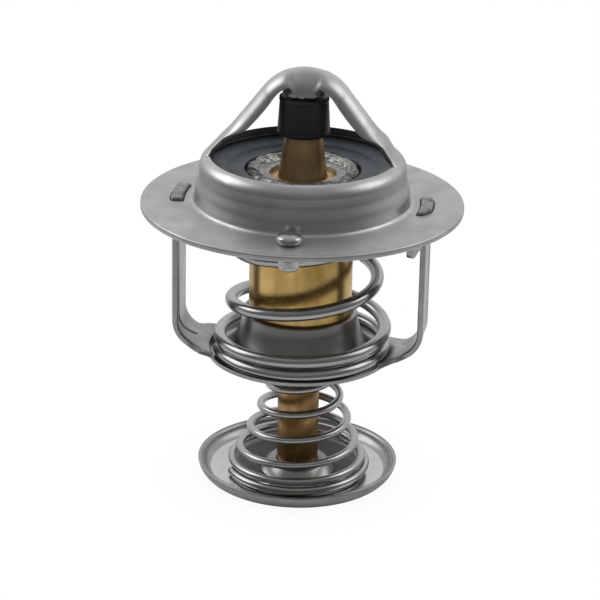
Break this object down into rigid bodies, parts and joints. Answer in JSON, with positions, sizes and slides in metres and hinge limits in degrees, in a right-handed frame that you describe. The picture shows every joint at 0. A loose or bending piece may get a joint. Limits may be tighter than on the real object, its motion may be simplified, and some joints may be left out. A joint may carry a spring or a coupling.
{
  "type": "engine thermostat",
  "caption": "Coolant valve of a car engine: wax element and main spring in a caged flange with a bridge on top, and a sprung bypass disc below.",
  "frame": {"origin": "on the valve's axis, level with the top face of the flange", "axes": "+Z along the axis, up through the bridge; the two arms and the bridge's legs lie along X; the vent pin is at -Y"},
  "size_m": [0.052, 0.052, 0.0702],
  "materials": {
    "sheet_steel": "satin stamped stainless sheet with soft mottling",
    "cage_steel": "satin stamped stainless sheet",
    "spring_wire": "smooth bright wire with drawing marks",
    "piston_steel": "ground steel",
    "plate_steel": "slate grey satin steel",
    "crimped_steel": "rough rolled edge, pale and broken up",
    "cup_brass": "satin brass with vertical streaks",
    "guide_brass": "dull brown brass with small stains",
    "stem_brass": "dull brown brass",
    "black_rubber": "blue black moulded rubber, half gloss",
    "white_plastic": "plain white, hidden",
    "wax": "plain, hidden",
    "disc_steel": "bright stainless, nearly mirror smooth on the floor",
    "pin_steel": "bright turned steel"
  },
  "bodies": {
    "housing": {"flange_bridge": "sheet_steel", "lower_frame": "cage_steel", "piston": "piston_steel", "main_spring": "spring_wire"},
    "element": {"main_valve_plate": "plate_steel", "crimp_ring": "crimped_steel", "wax_cup": "cup_brass", "piston_guide": "guide_brass", "guide_cap": "black_rubber", "seal_sleeve": "black_rubber", "backup_washer": "white_plastic", "wax_charge": "wax", "bypass_stem": "stem_brass", "spring_seat": "disc_steel", "stem_clip": "spring_wire", "bypass_spring": "spring_wire"},
    "bypass": {"bypass_disc": "disc_steel"},
    "vent_pin": {"jiggle_pin": "pin_steel", "jiggle_weight": "pin_steel"}
  },
  "joints": [
    {"name": "element_lift", "type": "slide", "parent": "housing", "child": "element", "axis": [0, 0, -1], "range_m": [0, 0.0085], "stiffness_N_per_m": 1500, "springref_m": -0.01, "deforming": ["main_spring"]},
    {"name": "bypass_slide", "type": "slide", "parent": "element", "child": "bypass", "axis": [0, 0, 1], "range_m": [0, 0.0035], "stiffness_N_per_m": 600, "springref_m": -0.008, "deforming": ["bypass_spring"]},
    {"name": "vent_pin_slide", "type": "slide", "parent": "housing", "child": "vent_pin", "axis": [0, 0, 1], "range_m": [0, 0.001]}
  ]
}
